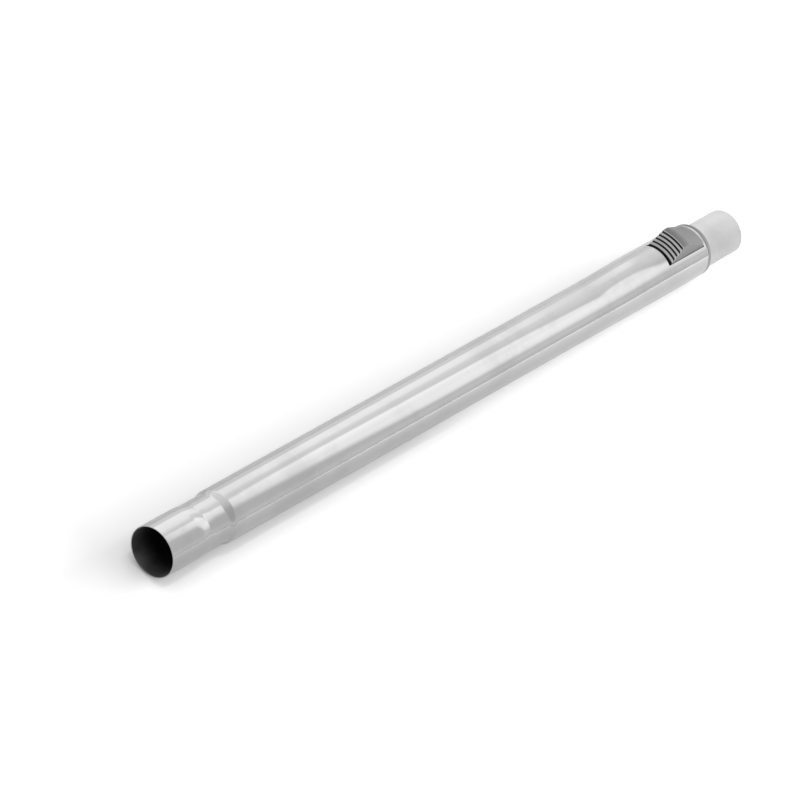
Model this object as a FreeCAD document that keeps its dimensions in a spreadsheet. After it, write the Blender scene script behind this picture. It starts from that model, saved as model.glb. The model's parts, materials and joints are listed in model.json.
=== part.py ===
import FreeCAD, Part
import Sketcher
import math
import os

# Telescopic vacuum wand, closed to its shortest length. The origin is the centre of the mouth,
# +X runs along the wand to the handle end, and +Z points to the release button.

doc = FreeCAD.newDocument("Wand")
sheet = doc.addObject("Spreadsheet::Sheet", "Sizes")

SIZES = {
    # length when closed, and how much of the inner tube shows behind the outer one
    "wand_length": 597,
    "stub_length": 42.7,
    # outer tube: plug seat at the mouth, neck behind it, long body, bulge around the lock
    "tube_od": 36.5,
    "tube_wall": 0.6,
    "seat_step": 0.75,
    "seat_end": 27,
    "neck_step": 1.4,
    "neck_ramp": 10,
    "neck_end": 54,
    "step_ramp": 6,
    "bulge_ramp": 67,
    "bulge_rise": 1.9,
    "bulge_side": 0.5,
    "window_margin": 2.8,
    "window_length": 39.5,
    "window_half": 10.95,
    # inner tube: sized handle end, row of pressed catch notches, guide groove underneath
    "tube_gap": 1.45,
    "inner_wall": 0.6,
    "socket_length": 38,
    "socket_step": 0.35,
    "notch_pitch": 24,
    "notch_length": 2.6,
    "notch_half": 3.2,
    "notch_depth": 1.2,
    "groove_radius": 1.4,
    "groove_lead": 28,
    "groove_back": 14.3,
    # guide sleeve and what closes the end of the outer tube
    "sleeve_lead": 7,
    "sleeve_front_wall": 1.5,
    "sleeve_floor": 1,
    "way_half": 12.4,
    "wiper_width": 1.2,
    "ring_flange": 3.2,
    "ring_inset": 0.1,
    "ring_gap": 0.3,
    "run_gap": 0.2,
    "seat_gap": 0.1,
    # catch spring and its rivet
    "catch_inset": 1,
    "catch_offset": 13.2,
    "catch_thick": 0.4,
    "catch_half": 2.8,
    "tooth_length": 1.6,
    "tooth_tip": 0.64,
    "lip_length": 4.4,
    "lip_rise": 3.2,
    "rivet_inset": 2.1,
    "rivet_radius": 1.1,
    "rivet_head_radius": 1.9,
    "rivet_head": 0.6,
    # carriage and return springs
    "saddle_thick": 1,
    "saddle_open_half": 8.2,
    "post_offset": 9,
    "spring_post": 1.3,
    "spring_post_rise": 3.4,
    "spring_side": 5.9,
    "spring_radius": 1.25,
    "spring_wire": 0.45,
    "spring_length": 9,
    "spring_pitch": 1.5,
    "carriage_wall": 2,
    "nose_reach": 2.2,
    "nose_foot": 1.44,
    "nose_rise": 2.88,
    # button cap: ridged front slope, rounded crest, smooth slope to the rear.
    # Its corners and crowns are heights above the inner tube.
    "cap_front_gap": 2.3,
    "cap_front_half": 10.6,
    "cap_front_corner": 1.6,
    "cap_front_crown": 4.3,
    "brow_run": 8.9,
    "brow_half": 9.75,
    "brow_corner": 11.4,
    "brow_crown": 12.7,
    "crest_run": 4.3,
    "crest_half": 9.65,
    "crest_corner": 11.8,
    "crest_crown": 13.1,
    "cap_rear_gap": 0.5,
    "cap_rear_half": 10.4,
    "cap_rear_corner": 1.7,
    "cap_rear_crown": 4.7,
    "cap_foot_depth": 5.5,
    "cap_wall": 1.6,
    "hollow_front": 5.2,
    "hollow_rear": 10,
    "rib_first": 1.75,
    "rib_pitch": 2.07,
    "rib_groove": 0.9,
    "rib_depth": 1.3,
    # rear glide on the hidden end of the inner tube
    "glide_stop": 4.5,
    "glide_length": 18,
    "glide_lip": 1.5,
    "seal_offset": 6,
    "seal_width": 3,
    "seal_depth": 0.6,
    "stud_radius": 2,
}
NOTCH_COUNT = 16
RIB_GROOVES = 4

for row, (alias, value) in enumerate(SIZES.items(), start=1):
    sheet.set("A%d" % row, alias)
    sheet.set("B%d" % row, str(value))
    sheet.setAlias("B%d" % row, alias)
doc.recompute()


def sized(text):
    """Turn {name} in a formula into the sheet's value of that name."""
    return text.replace("{", "Sizes.").replace("}", "")


# Radii that several pieces share
TUBE_R = "({tube_od} / 2)"
BORE_R = "(%s - {tube_wall})" % TUBE_R
INNER_R = "(%s - {tube_gap})" % BORE_R
INNER_BORE_R = "(%s - {inner_wall})" % INNER_R
SLEEVE_R = "(%s + {run_gap})" % INNER_R
FLOOR_R = "(%s + {sleeve_floor})" % SLEEVE_R
SADDLE_LOW_R = "(%s + {run_gap})" % FLOOR_R
SADDLE_TOP_R = "(%s + {saddle_thick})" % SADDLE_LOW_R
LOW = "(%s / 2)" % BORE_R
CAP_FOOT = "(%s - {cap_foot_depth})" % INNER_R
HIGH = "(2 * {tube_od})"

# Places along the wand, from the handle end forwards
TUBE_END = "({wand_length} - {stub_length})"
WINDOW_REAR = "(%s - {window_margin})" % TUBE_END
WINDOW_FRONT = "(%s - {window_length})" % WINDOW_REAR
SLEEVE_START = "(%s - {sleeve_lead})" % WINDOW_FRONT
SLEEVE_END = "(%s + {seat_gap})" % WINDOW_REAR
WIPER_END = "(%s + {seat_gap} + {wiper_width})" % SLEEVE_END
WAY_START = "(%s + {sleeve_front_wall})" % SLEEVE_START
CATCH_ROOT = "(%s + {catch_inset})" % WAY_START
RIVET_AT = "(%s + {rivet_inset})" % CATCH_ROOT
CATCH_AT = "(%s + {catch_offset})" % WINDOW_FRONT
POST_AT = "(%s + {post_offset})" % WINDOW_FRONT
POST_END = "(%s + {spring_post})" % POST_AT
WALL_AT = "(%s + {spring_length} + 2 * {seat_gap})" % POST_END
CAP_FRONT = "(%s + {cap_front_gap})" % WINDOW_FRONT
BROW_AT = "(%s + {brow_run})" % CAP_FRONT
CREST_AT = "(%s + {crest_run})" % BROW_AT
CAP_REAR = "(%s - {cap_rear_gap})" % WINDOW_REAR

# Places along the wand, from the mouth backwards
STEP_END = "({neck_end} + {step_ramp})"
INNER_START = "(%s + {glide_stop} + {glide_lip})" % STEP_END
STUD_AT = "(%s + {glide_length} - {stud_radius} * 2)" % INNER_START
SEAL_START = "(%s + {seal_offset})" % INNER_START
SEAL_END = "(%s + {seal_width})" % SEAL_START
GROOVE_START = "(%s + {groove_lead})" % INNER_START
GROOVE_END = "(%s - {groove_back})" % TUBE_END

# Shares of a ramp's length at which its sections stand
RAMP_STATIONS = (0, 0.08, 0.3, 0.5, 0.7, 0.92, 1)


def bind(item, **formulas):
    for name, text in formulas.items():
        item.setExpression(name.replace("__", "."), sized(text))


def box(name, x0, x1, half, z0, z1, y="0"):
    item = doc.addObject("Part::Box", name)
    bind(item, Length="%s - (%s)" % (x1, x0), Width="2 * (%s)" % half, Height="%s - (%s)" % (z1, z0))
    bind(item, Placement__Base__x=x0, Placement__Base__y="%s - (%s)" % (y, half), Placement__Base__z=z0)
    return item


def rod(name, radius, x0, x1, z="0"):
    """A cylinder along X."""
    item = doc.addObject("Part::Cylinder", name)
    item.Placement = FreeCAD.Placement(FreeCAD.Vector(), FreeCAD.Rotation(FreeCAD.Vector(0, 1, 0), 90))
    bind(item, Radius=radius, Height="%s - (%s)" % (x1, x0))
    bind(item, Placement__Base__x=x0, Placement__Base__z=z)
    return item


def stud(name, radius, x, y0, y1):
    """A cylinder along Y."""
    item = doc.addObject("Part::Cylinder", name)
    item.Placement = FreeCAD.Placement(FreeCAD.Vector(), FreeCAD.Rotation(FreeCAD.Vector(1, 0, 0), -90))
    bind(item, Radius=radius, Height="%s - (%s)" % (y1, y0))
    bind(item, Placement__Base__x=x, Placement__Base__y=y0)
    return item


def pin(name, radius, x, z0, z1):
    """A cylinder along Z."""
    item = doc.addObject("Part::Cylinder", name)
    bind(item, Radius=radius, Height="%s - (%s)" % (z1, z0))
    bind(item, Placement__Base__x=x, Placement__Base__z=z0)
    return item


def cut(name, base, tool):
    item = doc.addObject("Part::Cut", name)
    item.Base = base
    item.Tool = tool
    return item


def join(name, items):
    item = doc.addObject("Part::MultiFuse", name)
    item.Shapes = items
    item.Refine = True
    return item


def shared(name, items):
    item = doc.addObject("Part::MultiCommon", name)
    item.Shapes = items
    return item


def origin_plane(body, role):
    return [f for f in body.Origin.OriginFeatures if f.Role == role][0]


def outline(body, name, role, points):
    """A closed sketch whose corners lie at the given pairs of formulas."""
    sketch = body.newObject("Sketcher::SketchObject", name)
    sketch.AttachmentSupport = [(origin_plane(body, role), "")]
    sketch.MapMode = "FlatFace"
    count = len(points)
    turn = 2 * math.pi / count
    start = [FreeCAD.Vector(math.cos(i * turn), math.sin(i * turn), 0) for i in range(count)]
    for i in range(count):
        sketch.addGeometry(Part.LineSegment(start[i], start[(i + 1) % count]))
    for i in range(count):
        sketch.addConstraint(Sketcher.Constraint("Coincident", i, 2, (i + 1) % count, 1))
    for i, (across, up) in enumerate(points):
        for kind, text in (("DistanceX", across), ("DistanceY", up)):
            index = sketch.addConstraint(Sketcher.Constraint(kind, i, 1, 1.0))
            sketch.setExpression("Constraints[%d]" % index, sized(text))
    return sketch


def slab(name, points, half, y="0"):
    """A solid with the given side view, as wide as twice half, centred on y."""
    body = doc.addObject("PartDesign::Body", name)
    pad = body.newObject("PartDesign::Pad", name + "_pad")
    pad.Profile = outline(body, name + "_view", "XZ_Plane", points)
    pad.SideType = "Symmetric"
    bind(pad, Length="2 * (%s)" % half)
    bind(body, Placement__Base__y=y)
    return body


def oval(name, x, across, up, z):
    """An oval across the wand, given by its half sizes and its height."""
    item = doc.addObject("Part::Ellipse", name)
    item.Placement = FreeCAD.Placement(FreeCAD.Vector(), FreeCAD.Rotation(FreeCAD.Vector(0, 1, 0), -90))
    bind(item, MajorRadius=up, MinorRadius=across, Placement__Base__x=x, Placement__Base__z=z)
    return item


def skin(name, ovals, ruled=False):
    item = doc.addObject("Part::Loft", name)
    item.Sections = ovals
    item.Solid = True
    item.Ruled = ruled
    return item


def ease(share):
    """Share of a change that is done when this share of its length is passed."""
    return share * share * (3 - 2 * share)


def swage(name, x0, length, radius0, radius1):
    """A round tube end drawn smoothly from one radius to another."""
    ovals = []
    for i, share in enumerate(RAMP_STATIONS):
        radius = "%s + (%s - %s) * %.4f" % (radius0, radius1, radius0, ease(share))
        ovals.append(oval("%s_%d" % (name, i), "%s + %s * %.4f" % (x0, length, share), radius, radius, "0"))
    return skin(name, ovals)


def bulge_oval(name, x, inset, share):
    """The section of the outer tube's bulge, inset from its outside."""
    across = "%s - (%s) + {bulge_side} * %.4f" % (TUBE_R, inset, share)
    up = "%s - (%s) + {bulge_rise} / 2 * %.4f" % (TUBE_R, inset, share)
    return oval(name, x, across, up, "{bulge_rise} / 2 * %.4f" % share)


def bulge_block(name, x0, x1, inset):
    """A straight block with the section of the full bulge."""
    ends = [bulge_oval("%s_%d" % (name, i), x, inset, 1) for i, x in enumerate((x0, x1))]
    return skin(name, ends, True)


def tube_solid(name, inset, x0, x1):
    """The outer tube's outside, or its bore when inset by the wall."""
    body = "(%s - (%s))" % (TUBE_R, inset)
    seat = "(%s - {seat_step})" % body
    neck = "(%s - {neck_step})" % body
    bulge_start = "(%s - {bulge_ramp})" % SLEEVE_START
    ovals = []
    for i, share in enumerate(RAMP_STATIONS):
        x = "%s + {bulge_ramp} * %.4f" % (bulge_start, share)
        ovals.append(bulge_oval("%s_bulge_%d" % (name, i), x, inset, ease(share)))
    return join(name, [
        rod(name + "_seat", seat, x0, "{seat_end}"),
        swage(name + "_neck_ramp", "{seat_end}", "{neck_ramp}", seat, neck),
        rod(name + "_neck", neck, "({seat_end} + {neck_ramp})", "{neck_end}"),
        swage(name + "_step", "{neck_end}", "{step_ramp}", neck, body),
        rod(name + "_body", body, STEP_END, bulge_start),
        skin(name + "_bulge", ovals),
        bulge_block(name + "_lock_end", SLEEVE_START, x1, inset),
    ])


def make_outer_tube():
    metal = tube_solid("tube_outside", "0", "0", TUBE_END)
    bore = tube_solid("tube_bore", "{tube_wall}", "0", TUBE_END)
    pipe = cut("tube_pipe", metal, bore)
    window = box("tube_window", WINDOW_FRONT, WINDOW_REAR, "{window_half}", LOW, HIGH)
    return cut("outer_tube", pipe, window)


def notch_boxes(name, grow, depth):
    """One box a notch, counted back from the one under the catch."""
    boxes = []
    for i in range(NOTCH_COUNT):
        middle = "(%s - {notch_pitch} * %d)" % (CATCH_AT, i)
        half_length = "({notch_length} / 2 + %s)" % grow
        boxes.append(box("%s_%d" % (name, i), "%s - %s" % (middle, half_length),
                         "%s + %s" % (middle, half_length), "({notch_half} + %s)" % grow,
                         "%s - %s" % (INNER_R, depth), "%s + {tube_wall}" % INNER_R))
    return boxes


def make_inner_tube():
    sized_at = "({wand_length} - {socket_length})"
    metal = join("inner_outside", [
        rod("inner_body", INNER_R, INNER_START, sized_at),
        rod("inner_end", INNER_R + " - {socket_step}", sized_at, "{wand_length}"),
    ])
    bore = join("inner_bore", [
        rod("inner_body_bore", INNER_BORE_R, INNER_START, sized_at),
        rod("inner_end_bore", INNER_BORE_R + " - {socket_step}", sized_at, "{wand_length}"),
    ])
    pipe = cut("inner_pipe", metal, bore)
    inside = rod("inner_inside", INNER_R + " - {inner_wall} / 2", INNER_START, "{wand_length}")
    swells = join("notch_swells", notch_boxes("swell", "{inner_wall}", "({notch_depth} + {inner_wall})"))
    groove_swell = rod("groove_swell", "{groove_radius} + {inner_wall}", GROOVE_START + " - {inner_wall}",
                       GROOVE_END + " + {inner_wall}", "-" + INNER_R)
    pressed = shared("pressed_metal", [join("all_swells", [swells, groove_swell]), inside])
    full = join("inner_full", [pipe, pressed])
    hollows = notch_boxes("notch", "0", "{notch_depth}")
    hollows.append(rod("guide_groove", "{groove_radius}", GROOVE_START, GROOVE_END, "-" + INNER_R))
    hollows.append(stud("stud_holes", "{stud_radius} + {seat_gap}", STUD_AT,
                        "-" + TUBE_R, TUBE_R))
    return cut("inner_tube", full, join("inner_hollows", hollows))


def make_guide_sleeve():
    block = bulge_block("sleeve_block", SLEEVE_START, SLEEVE_END, "{tube_wall} + {seat_gap}")
    way = cut("slide_way", box("way_box", WAY_START, "{wand_length}", "{way_half}", LOW, HIGH),
              rod("way_floor", FLOOR_R, "0", "{wand_length}"))
    bore = rod("sleeve_bore", SLEEVE_R, SLEEVE_START, SLEEVE_END)
    tooth_half = "({tooth_length} / 2 + {run_gap} * 2)"
    slot = box("tooth_slot", "%s - %s" % (CATCH_AT, tooth_half), "%s + %s" % (CATCH_AT, tooth_half),
               "{catch_half} + {run_gap} * 2", "0", HIGH)
    rivet_hole = pin("sleeve_rivet_hole", "{rivet_radius}", RIVET_AT, "0", HIGH)
    posts = []
    for side, y in (("left", "{spring_side}"), ("right", "-{spring_side}")):
        posts.append(box("post_" + side, POST_AT, POST_END, "{spring_radius}",
                         SLEEVE_R + " - {run_gap} * 4", FLOOR_R + " + {spring_post_rise}", y))
    pad = box("catch_pad", WAY_START, RIVET_AT + " + {rivet_head_radius}", "{catch_half}",
              FLOOR_R + " - {sleeve_floor} / 2", FLOOR_R)
    key = rod("sleeve_key", "{groove_radius} - {run_gap}", SLEEVE_START,
              GROOVE_END + " - {groove_radius}", "-" + INNER_R)
    shell = cut("sleeve_shell", block, way)
    ready = cut("sleeve_bored", join("sleeve_with_posts", [shell, pad] + posts), bore)
    keyed = join("sleeve_keyed", [ready, key])
    return cut("guide_sleeve", keyed, join("sleeve_slots", [slot, rivet_hole]))


def ring_block(name, x0, x1, outside, bore_radius):
    block = bulge_block(name + "_block", x0, x1, outside)
    return cut(name + "_cut", block, rod(name + "_hole", bore_radius, x0, x1))


def make_wiper_seal():
    start = "(%s + {seat_gap})" % SLEEVE_END
    item = ring_block("wiper", start, WIPER_END, "{tube_wall} + {seat_gap}", INNER_R + " + {run_gap} / 2")
    item.Label = "wiper_seal"
    return item


def make_end_ring():
    collar = ring_block("collar", WIPER_END + " + {seat_gap}", TUBE_END, "{tube_wall} + {seat_gap}",
                        INNER_R + " + {ring_gap}")
    flange = ring_block("flange", TUBE_END, TUBE_END + " + {ring_flange}", "{ring_inset}",
                        INNER_R + " + {ring_gap}")
    return join("end_ring", [collar, flange])


def make_catch_spring():
    low = FLOOR_R
    top = "(%s + {catch_thick})" % FLOOR_R
    tip = "(%s - {notch_depth} + {run_gap})" % INNER_R
    lip_foot = "(%s + {tooth_length} / 2)" % CATCH_AT
    lip_end = "(%s + {lip_length})" % lip_foot
    leaf = slab("catch_leaf", [
        (CATCH_ROOT, low),
        (CATCH_AT + " - {tooth_length} / 2", low),
        (CATCH_AT + " - {tooth_tip} / 2", tip),
        (CATCH_AT + " + {tooth_tip} / 2", tip),
        (lip_foot, low),
        (lip_end, low + " + {lip_rise}"),
        (lip_end, top + " + {lip_rise}"),
        (lip_foot, top),
        (CATCH_ROOT, top),
    ], "{catch_half}")
    hole = pin("catch_rivet_hole", "{rivet_radius}", RIVET_AT, "0", HIGH)
    return cut("catch_spring", leaf, hole)


def make_catch_rivet():
    foot = "(%s + {run_gap})" % SLEEVE_R
    top = "(%s + {catch_thick})" % FLOOR_R
    shank = pin("rivet_shank", "{rivet_radius}", RIVET_AT, foot, top)
    head = pin("rivet_head", "{rivet_head_radius}", RIVET_AT, top, top + " + {rivet_head}")
    return join("catch_rivet", [shank, head])


def make_slide_carriage():
    blank = box("saddle_box", CAP_FRONT, CAP_REAR, "{way_half} - 2 * {run_gap}", LOW, HIGH)
    saddle = shared("saddle", [blank, rod("saddle_top", SADDLE_TOP_R, CAP_FRONT, CAP_REAR)])
    opening = box("saddle_opening", CAP_FRONT, WALL_AT, "{saddle_open_half}", "0", HIGH)
    wall_top = "(%s + {spring_post_rise})" % FLOOR_R
    wall = box("carriage_wall_box", WALL_AT, WALL_AT + " + {carriage_wall}",
               "{saddle_open_half} - {run_gap} * 2", LOW, wall_top)
    nose_tip = "(%s + {tooth_length} / 2 + {nose_reach})" % CATCH_AT
    nose_top = FLOOR_R + " + {nose_rise}"
    nose = slab("carriage_nose", [
        (nose_tip, LOW),
        (WALL_AT + " + {carriage_wall}", LOW),
        (WALL_AT + " + {carriage_wall}", nose_top),
        (WALL_AT, nose_top),
        (nose_tip, FLOOR_R + " + {nose_foot}"),
    ], "{catch_half} - {run_gap}")
    body = join("carriage_body", [cut("saddle_open", saddle, opening), wall, nose])
    return cut("slide_carriage", body, rod("saddle_low", SADDLE_LOW_R, "0", "{wand_length}"))


def cap_section(body, name, x, half, corner, crown, foot_half):
    """A closed section of the cap: flat foot, two sides and a crowned top."""
    sketch = body.newObject("Sketcher::SketchObject", name)
    sketch.AttachmentSupport = [(origin_plane(body, "YZ_Plane"), "")]
    sketch.MapMode = "FlatFace"
    sketch.setExpression("AttachmentOffset.Base.z", sized(x))
    inner = SIZES["tube_od"] / 2 - SIZES["tube_wall"] - SIZES["tube_gap"]
    w, c, t = SIZES[half], inner + SIZES[corner], inner + SIZES[crown]
    f, low = SIZES[foot_half], inner - SIZES["cap_foot_depth"]
    left, right = FreeCAD.Vector(-w, c, 0), FreeCAD.Vector(w, c, 0)
    foot_left, foot_right = FreeCAD.Vector(-f, low, 0), FreeCAD.Vector(f, low, 0)
    arc_radius = (w ** 2 + (t - c) ** 2) / (2 * (t - c))
    sketch.addGeometry(Part.Arc(right, FreeCAD.Vector(0, t, 0), left))
    sketch.addGeometry(Part.LineSegment(left, foot_left))
    sketch.addGeometry(Part.LineSegment(foot_left, foot_right))
    sketch.addGeometry(Part.LineSegment(foot_right, right))
    for first, second in ((0, 1), (1, 2), (2, 3)):
        sketch.addConstraint(Sketcher.Constraint("Coincident", first, 2, second, 1))
    sketch.addConstraint(Sketcher.Constraint("Coincident", 3, 2, 0, 1))
    sketch.addConstraint(Sketcher.Constraint("Symmetric", 0, 1, 0, 2, -2))
    sketch.addConstraint(Sketcher.Constraint("Symmetric", 2, 1, 2, 2, -2))
    radius = "(({%s} ^ 2 + ({%s} - {%s}) ^ 2) / (2 * ({%s} - {%s})))" % (half, crown, corner, crown, corner)
    for kind, text, geometry, point, value in (
            ("DistanceX", "{%s}" % half, 0, 1, w),
            ("DistanceY", "%s + {%s}" % (INNER_R, corner), 0, 1, c),
            ("DistanceX", "{%s}" % foot_half, 2, 2, f),
            ("DistanceY", CAP_FOOT, 2, 2, low)):
        index = sketch.addConstraint(Sketcher.Constraint(kind, geometry, point, value))
        sketch.setExpression("Constraints[%d]" % index, sized(text))
    index = sketch.addConstraint(Sketcher.Constraint("DistanceY", 0, 3, t - arc_radius))
    sketch.setExpression("Constraints[%d]" % index, sized("%s + {%s} - %s" % (INNER_R, crown, radius)))
    return sketch


def make_rib_groove(i):
    """What is cut away between two ridges: its floor follows the crown of the front slope."""
    run = "({rib_first} + {rib_pitch} * %d)" % i
    share = "(%s / {brow_run})" % run
    half, corner, crown = [
        "({%s} + ({%s} - {%s}) * %s)" % (front, brow, front, share)
        for front, brow in (("cap_front_half", "brow_half"), ("cap_front_corner", "brow_corner"),
                            ("cap_front_crown", "brow_crown"))]
    rise = "(%s - %s)" % (crown, corner)
    arch = "((%s ^ 2 + %s ^ 2) / (2 * %s))" % (half, rise, rise)
    middle = "(%s + %s)" % (CAP_FRONT, run)
    slot = box("rib_slot_%d" % i, middle + " - {rib_groove} / 2", middle + " + {rib_groove} / 2",
               "{window_half}", LOW, HIGH)
    floor = rod("rib_floor_%d" % i, arch + " - {rib_depth}", "0", "{wand_length}",
                "%s + %s - %s" % (INNER_R, crown, arch))
    return cut("rib_groove_%d" % i, slot, floor)


def make_button_cap():
    body = doc.addObject("PartDesign::Body", "cap_blank")
    sections = [
        cap_section(body, "cap_front_view", CAP_FRONT, "cap_front_half", "cap_front_corner",
                    "cap_front_crown", "cap_front_half"),
        cap_section(body, "cap_brow_view", BROW_AT, "brow_half", "brow_corner", "brow_crown",
                    "cap_front_half"),
        cap_section(body, "cap_crest_view", CREST_AT, "crest_half", "crest_corner", "crest_crown",
                    "cap_front_half"),
        cap_section(body, "cap_rear_view", CAP_REAR, "cap_rear_half", "cap_rear_corner",
                    "cap_rear_crown", "cap_rear_half"),
    ]
    loft = body.newObject("PartDesign::AdditiveLoft", "cap_loft")
    loft.Profile = sections[0]
    loft.Sections = sections[1:]
    loft.Ruled = True
    foot = rod("cap_seat", SADDLE_TOP_R, "0", "{wand_length}")
    hollow_half = "({saddle_open_half} - {run_gap})"
    roof = "(%s + {brow_corner} - 2 * {cap_wall})" % INNER_R
    hollow_front = CAP_FRONT + " + {hollow_front}"
    hollow_rear = CAP_REAR + " - {hollow_rear}"
    hollow = slab("cap_hollow", [
        (hollow_front, CAP_FOOT),
        (hollow_rear, CAP_FOOT),
        (hollow_rear, INNER_R + " + {cap_rear_crown}"),
        (CREST_AT + " + 2 * {cap_wall}", roof),
        (BROW_AT + " + {cap_wall}", roof),
        (hollow_front, FLOOR_R + " + {spring_post_rise}"),
    ], hollow_half)
    grooves = [make_rib_groove(i) for i in range(RIB_GROOVES)]
    return cut("button_cap", body, join("cap_cuts", [foot, hollow] + grooves))


def make_return_spring(side, y):
    body = doc.addObject("PartDesign::Body", "return_spring_" + side)
    sketch = body.newObject("Sketcher::SketchObject", "wire_" + side)
    sketch.AttachmentSupport = [(origin_plane(body, "XZ_Plane"), "")]
    sketch.MapMode = "FlatFace"
    wire, coil = SIZES["spring_wire"] / 2, SIZES["spring_radius"]
    sketch.addGeometry(Part.Circle(FreeCAD.Vector(wire, coil, 0), FreeCAD.Vector(0, 0, 1), wire))
    for kind, text, value in (("DistanceX", "{spring_wire} / 2", wire), ("DistanceY", "{spring_radius}", coil)):
        index = sketch.addConstraint(Sketcher.Constraint(kind, 0, 3, value))
        sketch.setExpression("Constraints[%d]" % index, sized(text))
    index = sketch.addConstraint(Sketcher.Constraint("Radius", 0, wire))
    sketch.setExpression("Constraints[%d]" % index, sized("{spring_wire} / 2"))
    coil_feature = body.newObject("PartDesign::AdditiveHelix", "coil_" + side)
    coil_feature.Profile = sketch
    coil_feature.ReferenceAxis = (sketch, ["H_Axis"])
    coil_feature.Mode = 0
    bind(coil_feature, Pitch="{spring_pitch}", Height="{spring_length} - {spring_wire}")
    axis_up = "(%s + {spring_radius} + {spring_wire} / 2 + {run_gap})" % FLOOR_R
    bind(body, Placement__Base__x=POST_END + " + {seat_gap}",
         Placement__Base__y=y, Placement__Base__z=axis_up)
    return body


def make_rear_glide():
    start = "(%s - {glide_lip})" % INNER_START
    end = "(%s + {glide_length})" % INNER_START
    outside = rod("glide_outside", BORE_R + " - {run_gap}", start, end)
    lip_bore = rod("glide_lip_bore", INNER_BORE_R, start, INNER_START)
    seat = rod("glide_seat", INNER_R, INNER_START, end)
    channel = cut("seal_channel",
                  rod("channel_out", TUBE_R, SEAL_START, SEAL_END),
                  rod("channel_in", BORE_R + " - {run_gap} - {seal_depth}", SEAL_START, SEAL_END))
    ring = cut("glide_ring", outside, join("glide_cuts", [lip_bore, seat, channel]))
    pegs = []
    for side, y0, y1 in (("left", INNER_BORE_R, BORE_R + " - {run_gap} * 2"),
                         ("right", "-%s + {run_gap} * 2" % BORE_R, "-" + INNER_BORE_R)):
        pegs.append(stud("peg_" + side, "{stud_radius}", STUD_AT, y0, y1))
    return join("rear_glide", [ring] + pegs)


def make_rear_seal():
    start, end = SEAL_START + " + {seat_gap}", SEAL_END + " - {seat_gap}"
    ring = rod("seal_outside", BORE_R + " - {run_gap} / 2", start, end)
    hole = rod("seal_hole", BORE_R + " - {run_gap} - {seal_depth}", start, end)
    return cut("rear_seal", ring, hole)


parts = {
    "outer_tube": make_outer_tube(),
    "inner_tube": make_inner_tube(),
    "guide_sleeve": make_guide_sleeve(),
    "wiper_seal": make_wiper_seal(),
    "end_ring": make_end_ring(),
    "catch_spring": make_catch_spring(),
    "catch_rivet": make_catch_rivet(),
    "slide_carriage": make_slide_carriage(),
    "button_cap": make_button_cap(),
    "return_spring_left": make_return_spring("left", "{spring_side}"),
    "return_spring_right": make_return_spring("right", "-{spring_side}"),
    "rear_glide": make_rear_glide(),
    "rear_seal": make_rear_seal(),
}
doc.recompute()

for item in doc.Objects:
    if "Invalid" in item.State or "Error" in item.State:
        raise RuntimeError("%s did not build: %s" % (item.Label, item.State))
os.makedirs("parts", exist_ok=True)
for node, item in parts.items():
    item.Label = node
    if item.Shape.isNull() or not item.Shape.isValid():
        raise RuntimeError(node + " has no valid shape")
    item.Shape.exportStep("parts/%s.step" % node)
    span = item.Shape.optimalBoundingBox()
    print("%-20s solids %d  volume %.1f mm3  x %.1f to %.1f  z %.2f to %.2f" % (
        node, len(item.Shape.Solids), item.Shape.Volume, span.XMin, span.XMax, span.ZMin, span.ZMax))
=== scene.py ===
# %% [markdown]
# # A telescopic vacuum wand, dressed for the studio
# The wand is two thin steel tubes, one sliding in the other, with a ridged button that lets go of
# the catch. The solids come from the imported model, and this lesson gives them clean surfaces,
# finishes and light. Everything is in metres, in the frame of the solids: the mouth's centre is
# the origin, +X runs to the handle end and +Z points to the button.

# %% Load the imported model
import json
import math
import bpy
import bmesh
from mathutils import Matrix, Vector


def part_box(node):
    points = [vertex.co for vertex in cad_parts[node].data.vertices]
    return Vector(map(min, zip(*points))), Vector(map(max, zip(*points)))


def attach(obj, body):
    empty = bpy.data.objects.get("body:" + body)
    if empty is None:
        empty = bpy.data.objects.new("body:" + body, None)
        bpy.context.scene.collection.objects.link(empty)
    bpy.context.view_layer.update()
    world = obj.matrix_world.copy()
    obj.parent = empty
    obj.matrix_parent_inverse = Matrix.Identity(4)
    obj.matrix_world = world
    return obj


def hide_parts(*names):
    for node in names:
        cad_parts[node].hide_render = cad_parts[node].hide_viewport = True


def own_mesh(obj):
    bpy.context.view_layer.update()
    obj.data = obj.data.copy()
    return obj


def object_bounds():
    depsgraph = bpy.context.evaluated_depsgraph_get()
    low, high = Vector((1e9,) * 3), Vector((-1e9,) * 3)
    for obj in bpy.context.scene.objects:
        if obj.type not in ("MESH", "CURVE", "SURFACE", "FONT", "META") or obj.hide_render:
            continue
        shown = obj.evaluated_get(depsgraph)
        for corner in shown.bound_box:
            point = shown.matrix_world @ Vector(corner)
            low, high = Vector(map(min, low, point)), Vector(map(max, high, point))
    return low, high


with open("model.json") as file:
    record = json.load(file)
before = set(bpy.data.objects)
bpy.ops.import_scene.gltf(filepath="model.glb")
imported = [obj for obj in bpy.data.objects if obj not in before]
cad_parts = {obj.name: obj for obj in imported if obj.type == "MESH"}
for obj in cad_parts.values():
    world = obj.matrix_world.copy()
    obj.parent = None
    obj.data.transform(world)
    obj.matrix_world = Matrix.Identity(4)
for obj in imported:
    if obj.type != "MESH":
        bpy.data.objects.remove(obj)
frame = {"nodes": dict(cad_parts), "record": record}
cad_low, cad_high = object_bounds()
MM = 0.001
print("nodes:", ", ".join(sorted(frame["nodes"])))

# %% [markdown]
# ## Measures
# Every size could be typed again, but then a change in the solids would leave the looks behind.
# So the places are read from the boxes of the nodes and from the mounts in the record, and only
# the sizes that no box shows are written here.

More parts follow.
